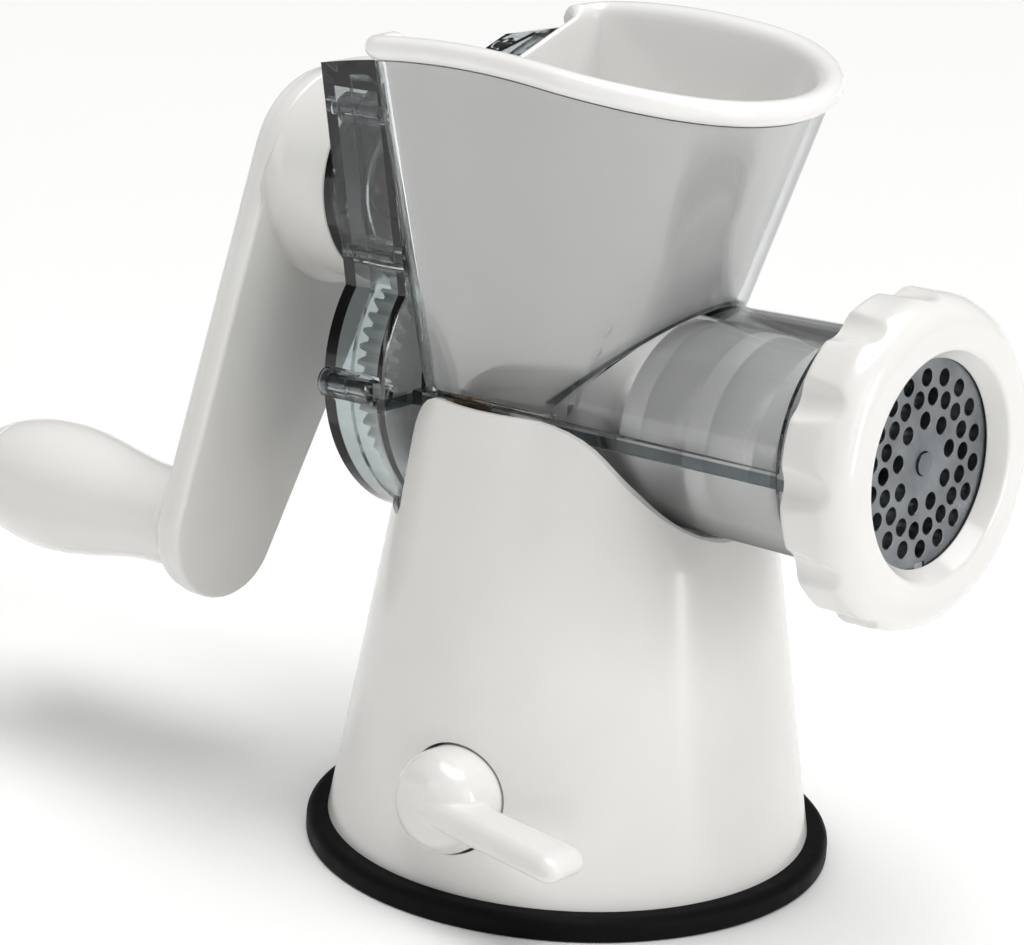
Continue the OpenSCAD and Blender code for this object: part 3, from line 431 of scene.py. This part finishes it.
def makeGrip():
    g = gripShape
    place = barrelPlace @ Matrix.Translation(Vector((g["start"], *spot)) * mm)
    mesh = bmesh.new()
    addLattice(mesh, gripRows(0, g["seam"], 90, 0.8, g["groove"]), closeRows=True, closeColumns=False)
    newPiece("grip_moulded", mesh, "white_gloss", "handle", ["grip"], place)
    mesh = bmesh.new()
    cap = [[gripDent(p) for p in row] for row in gripRows(g["seam"], 1, 50, g["groove"], 0)]
    addLattice(mesh, cap, closeRows=True, closeColumns=False)
    newPiece("grip_cap_moulded", mesh, "white_gloss", "handle", ["grip_cap"], place)


makeGrip()

# Crank arm: a strap with a parting line, a drum and the grip's boss
arm = {"front": -86.3, "rear": -96, "hub": 27.6, "end": 18, "drumFront": -68.4, "drumWall": 2.5, "core": 9,
       "step": 0.5, "blend": 4.5, "boss": 13, "bossLength": 3}


def makeCrankArm():
    a = arm
    middle = (a["front"] + a["rear"]) / 2
    mesh = bmesh.new()
    edge = [(a["front"], 1.2), (a["front"] - 0.1, 0.75), (a["front"] - 0.35, 0.35), (a["front"] - 0.75, 0.1),
            (a["front"] - 1.2, 0), (middle + 0.35, 0), (middle + 0.15, 0.08), (middle, 0.45),
            (middle - 0.15, 0.5), (a["rear"] + 3, 0.5)]
    edge += [(a["rear"] + 3 - 3 * math.sin(math.radians(d)), 3.5 - 3 * math.cos(math.radians(d)))
             for d in range(10, 91, 10)]
    rows = []
    for x, inset in edge:
        outline = bandStrap((0, crankRise), a["hub"] - inset, spot, a["end"] - inset)
        rows.append([Vector((x, y, z)) for y, z in outline])
    addLattice(mesh, rows, caps=(0, -1))
    reach = Vector(spot) - Vector((0, crankRise))
    profile = []
    for i in range(9):
        lift = math.radians(90 - i * 11.25)
        profile.append((a["front"] - 0.3 + (a["blend"] + 0.3) * (1 - math.sin(lift)), math.cos(lift)))
    drumRows = []
    steps = 144
    for i in range(steps):
        angle = 2 * math.pi * i / steps
        outward = Vector((math.cos(angle), math.sin(angle)))
        facing = max(0, outward.dot(reach.normalized()))
        spread = a["blend"] * min(1, facing * 2.2)
        drum = a["hub"] - a["step"]
        line = [(x, drum + spread * (1 - share)) for x, share in profile]
        line += [(x, drum) for x in (-78, -74)]
        line += [(x, drum - 0.8 + y) for x, y in arcPoints((a["drumFront"] - 0.8, 0), 0.8, 90, 0, 4)]
        line += [(a["drumFront"], a["hub"] - a["drumWall"]), (a["front"] + 0.2, a["hub"] - a["drumWall"]),
                 (a["front"] + 0.2, a["core"]), (a["drumFront"], a["core"]), (a["drumFront"], 5.2),
                 (a["front"] - 1, 5.2)]
        drumRows.append([Vector((x, r * outward.x, crankRise + r * outward.y)) for x, r in line])
    addLattice(mesh, drumRows, closeRows=True)
    bossLine = [(a["rear"] + 0.5, 0.5), (a["rear"] + 0.5, a["boss"] + 1.2), (a["rear"] - 0.3, a["boss"] + 0.5),
                (a["rear"] - 1, a["boss"]), (a["rear"] - a["bossLength"], a["boss"]), (a["rear"] - a["bossLength"], 0.5)]
    bossRows = [[p + Vector((0, *spot)) for p in row] for row in turnedRows(bossLine, 96)]
    addLattice(mesh, bossRows, closeRows=True)
    newPiece("crank_arm_moulded", mesh, "white_gloss", "crank", ["crank_arm"], barrelPlace)


makeCrankArm()
print("stage: nut, grip and crank arm")

# Hopper liner: a funnel on the hopper's outline, with a rolled rim along the arch
hopper = {"topZ": 85, "lowW": 28.6, "topW": 44.4, "lowFront": 30, "topFront": 64, "lowRear": -36, "topRear": -38,
          "lowCorner": 8.5, "topCorner": 7.5, "wall": 2.8, "archTop": 91.8, "archRadius": 249, "archX": -11}
liner = {"gap": 3.1, "inner": 4.9, "over": 2, "rimHeight": 5.9, "endWidth": 33, "bore": 24.3, "low": 0.3,
         "sink": 1.2, "notchFront": -30, "notchLow": 77.7, "notchSlope": 20, "notchRound": 30}


def hopperSize(name, height):
    low, top = hopper["low" + name], hopper["top" + name]
    return low + (top - low) * height / hopper["topZ"]


def hopperAnchor(kind, degrees, height, grow):
    w = hopperSize("W", height)
    if kind == 0:
        return Vector(pointOnCircle((hopperSize("Front", height) - w, 0), w + grow, degrees))
    corner = hopperSize("Corner", height)
    return Vector(pointOnCircle((hopperSize("Rear", height) + corner, kind * (w - corner)), corner + grow, degrees))


def hopperColumns():
    front = [((0, d), (0, d), 0) for d in range(-90, 91, 3)]
    near = [((1, 90 + i * 9), (1, 90 + i * 9), 0) for i in range(11)]
    away = [((-1, 180 + i * 9), (-1, 180 + i * 9), 0) for i in range(11)]
    sideA = [((0, 90), (1, 90), i / 24) for i in range(1, 24)]
    rear = [((1, 180), (-1, 180), i / 60) for i in range(1, 60)]
    sideB = [((-1, 270), (0, -90), i / 24) for i in range(1, 24)]
    return front + sideA + near + rear + away + sideB


def archHeight(x, drop):
    radius = hopper["archRadius"] - drop
    return hopper["archTop"] - hopper["archRadius"] + math.sqrt(radius ** 2 - (x - hopper["archX"]) ** 2)


def hopperPoint(column, grow, heightAt):
    first, second, share = column
    height = 60
    for _ in range(7):
        point = hopperAnchor(*first, height, grow).lerp(hopperAnchor(*second, height, grow), share)
        height = heightAt(point)
    return Vector((point.x, point.y, height))


def notchHeight(y):
    slope = math.radians(liner["notchSlope"])
    radius = liner["notchRound"]
    low = liner["notchLow"]
    if abs(y) < radius * math.sin(slope):
        return low + radius / math.cos(slope) - math.sqrt(radius ** 2 - y * y)
    return low + math.tan(slope) * abs(y)


def wallTop(point, drop, bare):
    full = archHeight(point.x, drop)
    cut = min(archHeight(point.x, liner["sink"]), notchHeight(point.y) - liner["sink"]) - max(0, drop - 1.2)
    return full + (cut - full) * bare


def linerFoot(point):
    return max(liner["low"], math.sqrt(max(0, liner["bore"] ** 2 - point.y ** 2)))


def smoothStep(low, high, value):
    share = min(1, max(0, (value - low) / (high - low)))
    return share * share * (3 - 2 * share)


def makeLiner():
    l = liner
    inner, gap, tall = -l["inner"], -l["gap"], l["rimHeight"]
    rim = [(inner, 9), (inner, 4), (inner + 0.15, 2.3), (inner + 0.7, 1.1), (inner + 1.6, 0.35), (-2.2, 0.05),
           (-1.1, 0), (-0.1, 0.2), (0.75, 0.65), (1.35, 1.3), (1.75, 2.1), (l["over"], 2.9), (l["over"], 3.5),
           (1.8, 4.2), (1.4, 4.85), (0.9, 5.35), (0.45, tall - 0.15), (-0.1, tall), (gap, tall), (gap, 9)]
    plain = [(inner, 9), (inner, 5), (inner, 3), (inner, 2), (inner + 0.1, 1.55), (inner + 0.4, 1.25)]
    plain += [(inner + 0.9, 1.2)] * 4 + [(gap - 0.4, 1.25), (gap - 0.1, 1.5), (gap, 1.9)]
    plain += [(gap, 2.5 + i) for i in range(5)] + [(gap, 7.5), (gap, 9)]
    rows = []
    for column in hopperColumns():
        probe = hopperPoint(column, 0, lambda p: archHeight(p.x, 0))
        behind = 1 - smoothStep(l["notchFront"] - 0.6, l["notchFront"] + 0.6, probe.x)
        bare = behind * (1 - smoothStep(l["endWidth"] - 0.6, l["endWidth"] + 0.6, abs(probe.y)))
        top = lambda p: wallTop(p, 9, bare)
        line = []
        for share in [i / 26 for i in range(26)]:
            line.append(hopperPoint(column, inner, lambda p: linerFoot(p) + share * (top(p) - linerFoot(p))))
        for full, cut in zip(rim, plain):
            grow, drop = Vector(full).lerp(Vector(cut), bare)
            line.append(hopperPoint(column, grow, lambda p: wallTop(p, drop, bare)))
        for share in [i / 26 for i in range(25, -1, -1)]:
            line.append(hopperPoint(column, gap, lambda p: linerFoot(p) + share * (top(p) - linerFoot(p))))
        rows.append(line)
    mesh = bmesh.new()
    addLattice(mesh, rows, closeRows=True)
    piece = newPiece("hopper_liner_moulded", mesh, "white_gloss", "liner", ["hopper_liner"], barrelPlace, sharp=50)
    piece.data.materials[0] = makeWhiteGloss("white_liner_abs", "#F0EEEC", "#F6F5F3")  # whiter than the base; part of this lift is painted light for the hopper's bright inside


makeLiner()

# Clear body: a merged copy of the CAD solid, shaded by the hopper's true cones instead of its facets
def coneNormal(point, kind):
    now, above = (hopperAnchor(kind, 0, point.z + step, 0) for step in (0, 1))
    size = "W" if kind == 0 else "Corner"
    radius, widening = (hopperSize(size, point.z + step) for step in (0, 1))
    widening -= radius
    centre = Vector((now.x - radius, now.y))
    drift = Vector((above.x - now.x - widening, above.y - now.y))
    out = (Vector((point.x, point.y)) - centre).normalized()
    return Vector((out.x, out.y, -drift.dot(out) - widening)).normalized()


def softNormals(data, widest):
    around = [[] for _ in data.vertices]
    for face in data.polygons:
        for i in face.vertices:
            around[i].append(face)
    limit = math.cos(math.radians(widest))
    normals = []
    for face in data.polygons:
        for i in face.vertices:
            total = Vector()
            for other in around[i]:
                if other.normal.dot(face.normal) > limit:
                    total += other.normal * other.area
            normals.append(total.normalized() if total.length > 0 else face.normal.copy())
    return normals


def exactNormal(point, flat):
    if point.z > 5:
        for kind in (0, 1, -1):
            exact = coneNormal(point, kind)
            if abs(exact.dot(flat)) > 0.9985:
                return exact * math.copysign(1, exact.dot(flat))
    out = Vector((0, point.y, point.z)).normalized()
    if abs(flat.x) < 0.06 and abs(out.dot(flat)) > 0.994 and 23.5 < math.hypot(point.y, point.z) < 32:
        return out * math.copysign(1, out.dot(flat))
    return None


def makeClearBody():
    toBody = (barrelPlace @ Matrix.Scale(mm, 4)).inverted()
    mesh = bmesh.new()
    mesh.from_mesh(frame["nodes"]["grinder_body"].data)
    mesh.transform(toBody)
    piece = newPiece("grinder_body_moulded", mesh, "clear_smoke", "housing", ["grinder_body"], barrelPlace,
                     turnOut=False)
    data = piece.data
    for stale in ("custom_normal", "sharp_edge"):
        data.attributes.remove(data.attributes[stale])
    turn = barrelPlace.to_3x3()
    normals = softNormals(data, 25)
    for face in data.polygons:
        flat = turn.transposed() @ face.normal
        for i in face.loop_indices:
            exact = exactNormal(toBody @ data.vertices[data.loops[i].vertex_index].co, flat)
            if exact:
                normals[i] = turn @ exact
    data.normals_split_custom_set(normals)


makeClearBody()


# Suction membrane: a copy of the CAD solid's own shape; its pressing flat by the plunger is not modelled here
def makeMembrane():
    mesh = bmesh.new()
    mesh.from_mesh(frame["nodes"]["suction_membrane"].data)
    mesh.transform(Matrix.Scale(1 / mm, 4))
    piece = newPiece("suction_membrane_moulded", mesh, "black_rubber", "housing", ["suction_membrane"], turnOut=False)
    piece.data.attributes.remove(piece.data.attributes["custom_normal"])
    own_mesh(piece)


makeMembrane()

# Suction lever: a domed hub and a flat blade, softened where they meet
lever = {"hub": 13.2, "floor": 50.3, "face": 70, "edge": 9, "dome": 0.8, "hole": 5.4, "holeEnd": 66.3,
         "rootHalf": 4.2, "endHalf": 3.6, "rootWidth": 12, "endWidth": 14.5, "flare": 3.2, "length": 46.5,
         "droop": 2, "voxel": 0.4, "softening": 9}


def softened(piece, voxel, rounds):
    union = piece.modifiers.new("union", "REMESH")
    union.mode = "VOXEL"
    union.voxel_size = voxel * mm
    union.use_smooth_shade = True
    smooth = piece.modifiers.new("soften", "SMOOTH")
    smooth.iterations = rounds


def makeLever():
    v = lever
    mesh = bmesh.new()
    profile = [(v["holeEnd"], 0), (v["holeEnd"], v["hole"]), (v["floor"], v["hole"]), (v["floor"], v["hub"])]
    profile += arcPoints((v["face"] - v["dome"] - v["edge"], v["hub"] - v["edge"]), v["edge"], 90, 8, 14)
    profile += [(v["face"] - 0.15, 2), (v["face"], 0)]
    addLattice(mesh, [[Vector((p.y, -p.x, p.z)) for p in row] for row in turnedRows(profile, 96)], closeRows=True)
    steps = 44
    sections = []
    for i in range(steps + 1):
        reach = v["length"] * (1 - (1 - i / steps) ** 1.7)
        share = reach / v["length"]
        half = v["rootHalf"] + (v["endHalf"] - v["rootHalf"]) * share
        outer = v["face"] + v["flare"] * share
        inner = outer - v["rootWidth"] - (v["endWidth"] - v["rootWidth"]) * share
        blunt = half * 1.5
        left = max(0, reach - (v["length"] - blunt)) / blunt
        shrink = 1 - math.sqrt(max(0, 1 - left * left))
        outer, inner = outer - half * shrink, inner + half * shrink
        tall = max(0.15, half * (1 - shrink))
        corner = min(tall, (outer - inner) / 2) * 0.97
        outline = roundedOutline([(inner, -tall, corner), (outer, -tall, corner), (outer, tall, corner),
                                  (inner, tall, corner)], 8)
        sections.append([Vector((reach, -across, up)) for across, up in outline])
    turn = Matrix.Rotation(math.radians(v["droop"]), 3, "Y")
    addLattice(mesh, [[turn @ p for p in row] for row in sections], caps=(0, -1))
    shaft = Vector(joints["lever_turn"]["pos_m"])
    piece = newPiece("suction_lever_moulded", mesh, "white_gloss", "lever", ["suction_lever"],
                     Matrix.Translation((shaft.x, 0, shaft.z)))
    softened(piece, v["voxel"], v["softening"])


makeLever()

# Auger: a smooth helical flight with filleted root on a tapered core
auger = {"rear": -32.2, "front": 91.2, "flightRear": -30, "flightFront": 89.2, "radius": 23, "lead": 20.3, "start": -58,
         "coreRear": 8, "coreFront": 11, "land": 3.3, "root": 4.2, "fillet": 2.4, "edge": 0.6, "square": 4.6, "seat": 14,
         "hexRear": -48.3, "hex": 5.77}


def flightProfile(core):
    a = auger
    flank = [(0, a["root"] + a["fillet"])]
    flank += [(a["fillet"] * (1 - math.sin(math.radians(90 - d))), a["root"] + a["fillet"] * (1 - math.sin(math.radians(d))))
              for d in range(15, 91, 15)]
    depth = a["radius"] - core
    flank += [(a["fillet"] + (depth - a["fillet"] - a["edge"]) * i / 6,
               a["root"] + (a["land"] - a["root"]) * i / 6) for i in range(1, 7)]
    flank += [(depth - a["edge"] * 0.3, a["land"] - a["edge"] * 0.3), (depth, a["land"] - a["edge"])]
    rise = [(core + up, -half) for up, half in flank]
    return rise + [(core + up, half) for up, half in reversed(flank)] + [(core - 3, a["root"] + a["fillet"]),
                                                                        (core - 3, -a["root"] - a["fillet"])]


def makeAuger():
    a = auger
    mesh = bmesh.new()
    turns = (a["flightFront"] - a["flightRear"]) / a["lead"]
    steps = int(turns * 60)
    rows = []
    for i in range(steps + 1):
        x = a["flightRear"] + 6.6 + (a["flightFront"] - a["flightRear"] - 13.2) * i / steps
        core = a["coreRear"] + (a["coreFront"] - a["coreRear"]) * (x - a["rear"]) / (a["front"] - a["rear"])
        ends = min(1, (i / steps) * turns * 8, (1 - i / steps) * turns * 8)
        angle = math.radians(a["start"] - 360 * (x - a["flightRear"]) / a["lead"])
        line = []
        for radius, half in flightProfile(core):
            r = core + (radius - core) * (0.25 + 0.75 * ends) if radius > core else radius
            line.append(Vector((x + half, r * math.sin(angle), -r * math.cos(angle))))
        rows.append(line)
    addLattice(mesh, rows, caps=(0, -1))
    core = [(a["rear"], 0), (a["rear"], a["coreRear"] - 0.5), (a["rear"] + 0.5, a["coreRear"]),
            (a["front"] - 0.8, a["coreFront"] - 0.02), (a["front"], a["coreFront"] - 0.8), (a["front"], 6.6),
            (a["front"] - a["seat"], 6.6), (a["front"] - a["seat"], 0)]
    addLattice(mesh, turnedRows(core, 72), closeRows=True)
    shank = [(a["hexRear"], 0), (a["hexRear"], a["hex"] - 0.5), (a["hexRear"] + 0.5, a["hex"]), (a["rear"] + 0.5, a["hex"]),
             (a["rear"] + 0.5, 0)]
    addLattice(mesh, turnedRows(shank, 6), closeRows=True)
    newPiece("auger_moulded", mesh, "white_nylon", "screw", ["auger"], barrelPlace, sharp=35)


makeAuger()
print("stage: liner, lever and auger")

# CAD nodes that stay: welded and smoothed by angle, with the edges broken as a tool or mould leaves them
edgeWidths = {"foot_ring": 0.6, "guide_plate": 0.4, "perforated_plate": 0.25, "crank_shaft": 0.3, "crank_screw": 0.2,
              "cover_screws": 0.15, "drive_gear": 0.12, "drive_pinion": 0.12, "knife": 0.2, "auger_pin": 0.25,
              "plunger": 0.4, "cam_shaft": 0.3, "crank_bush": 0.2, "thrust_washer": 0.2}
creaseAngle = 32


def makeWeldTree():
    tree = bpy.data.node_groups.new("welded_faces", "GeometryNodeTree")
    tree.interface.new_socket("Geometry", in_out="INPUT", socket_type="NodeSocketGeometry")
    tree.interface.new_socket("Geometry", in_out="OUTPUT", socket_type="NodeSocketGeometry")
    start, end = addNode(tree, "NodeGroupInput"), addNode(tree, "NodeGroupOutput")
    weld = addNode(tree, "GeometryNodeMergeByDistance", {"Distance": 0.002 * mm})
    crease = addNode(tree, "GeometryNodeInputMeshEdgeAngle")
    steep = addNode(tree, "FunctionNodeCompare", {"B": math.radians(creaseAngle)}, data_type="FLOAT",
                    operation="GREATER_THAN")
    smooth = addNode(tree, "GeometryNodeSetMeshNormal", {"Remove Custom": True, "Face Sharpness": False})
    tree.links.new(start.outputs[0], weld.inputs["Geometry"])
    tree.links.new(weld.outputs[0], smooth.inputs["Mesh"])
    tree.links.new(crease.outputs["Unsigned Angle"], steep.inputs["A"])
    tree.links.new(steep.outputs[0], smooth.inputs["Edge Sharpness"])
    tree.links.new(smooth.outputs[0], end.inputs[0])
    return tree


def finishNode(name, width, tree):
    part = frame["nodes"][name]
    part.modifiers.new("weld", "NODES").node_group = tree
    flats = part.modifiers.new("flats", "DECIMATE")
    flats.decimate_type = "DISSOLVE"
    flats.angle_limit = math.radians(0.4)
    bevel = part.modifiers.new("edges", "BEVEL")
    bevel.width = width * mm
    bevel.segments = 3
    bevel.limit_method = "ANGLE"
    bevel.angle_limit = math.radians(creaseAngle)
    bevel.harden_normals = True
    bevel.miter_outer = "MITER_ARC"


weldTree = makeWeldTree()
for name in edgeWidths:
    finishNode(name, edgeWidths[name], weldTree)
print("stage: CAD nodes finished")

# Camera at the photograph's place
view = {"azimuth": 40.69, "elevation": 17.34, "roll": 3.01, "distance": 0.82994, "target": (0.03106, -0.06549, 0.12),
        "focal": 124.9}


def makeCamera():
    a, e, r = (math.radians(view[key]) for key in ("azimuth", "elevation", "roll"))
    back = Vector((math.sin(a) * math.cos(e), -math.cos(a) * math.cos(e), math.sin(e)))
    level = Vector((math.cos(a), math.sin(a), 0))
    upright = back.cross(level)
    right = math.cos(r) * level + math.sin(r) * upright
    up = back.cross(right)
    camera = bpy.data.objects.new("camera", bpy.data.cameras.new("camera"))
    camera.data.sensor_width = 36
    camera.data.lens = view["focal"]
    camera.data.clip_start = 0.05
    turn = Matrix((right, up, back)).transposed().to_4x4()
    camera.matrix_world = Matrix.Translation(Vector(view["target"]) + back * view["distance"]) @ turn
    bpy.context.scene.collection.objects.link(camera)
    bpy.context.scene.camera = camera


makeCamera()
print("stage: camera")


# Floor and soft studio light
def makeFloor():
    mesh = bpy.data.meshes.new("floor")
    half = 30.0
    mesh.from_pydata([(-half, -half, 0), (half, -half, 0), (half, half, 0), (-half, half, 0)], [], [(0, 1, 2, 3)])
    floor = bpy.data.objects.new("floor", mesh)
    material, tree, shader, place = newMaterial("pale_floor", Roughness=0.6)
    tree.links.new(mixColours(tree, grainNode(tree, place, 3.0), "#F6F6F5", "#F8F8F7"), shader.inputs["Base Color"])
    mesh.materials.append(material)
    bpy.context.scene.collection.objects.link(floor)


def addLight(name, place, target, size, watts, tint="#FFFFFF"):
    data = bpy.data.lights.new(name, "AREA")
    data.shape = "RECTANGLE"
    data.size, data.size_y = size
    data.energy = watts
    data.color = linear(tint)[:3]
    lamp = bpy.data.objects.new(name, data)
    lamp.location = place
    lamp.rotation_euler = (Vector(target) - Vector(place)).to_track_quat("-Z", "Y").to_euler()
    bpy.context.scene.collection.objects.link(lamp)


def addSun(name, place, target, strength, degrees):
    data = bpy.data.lights.new(name, "SUN")
    data.energy = strength
    data.angle = math.radians(degrees)
    lamp = bpy.data.objects.new(name, data)
    lamp.rotation_euler = (Vector(target) - Vector(place)).to_track_quat("-Z", "Y").to_euler()
    bpy.context.scene.collection.objects.link(lamp)


def makeWorld():
    world = bpy.data.worlds.new("studio")
    world.use_nodes = True
    tree = world.node_tree
    background = tree.nodes["Background"]
    background.inputs["Color"].default_value = linear("#FFFFFF")
    split = addNode(tree, "ShaderNodeSeparateXYZ")
    tree.links.new(addNode(tree, "ShaderNodeTexCoord").outputs["Generated"], split.inputs["Vector"])
    tree.links.new(rangeNode(tree, split.outputs["Z"], 0.36, 0.14, 0, 0.2), background.inputs["Strength"])
    bpy.context.scene.world = world


makeFloor()
makeWorld()
addLight("key", (1.75, -0.4, 0.75), (0, 0, 0.1), (0.6, 1.2), 3.2)
addLight("strip", (1.9, 0.25, 0.5), (0, 0, 0.15), (0.2, 1.0), 10)
addLight("side", (-0.5, -2.2, 0.7), (0, 0, 0.1), (1.2, 1.2), 5)
addSun("top", (0.2, 0.1, 2.4), (0, 0, 0), 2.95, 55)
bpy.context.scene.view_settings.view_transform = "Standard"
print("stage: light")
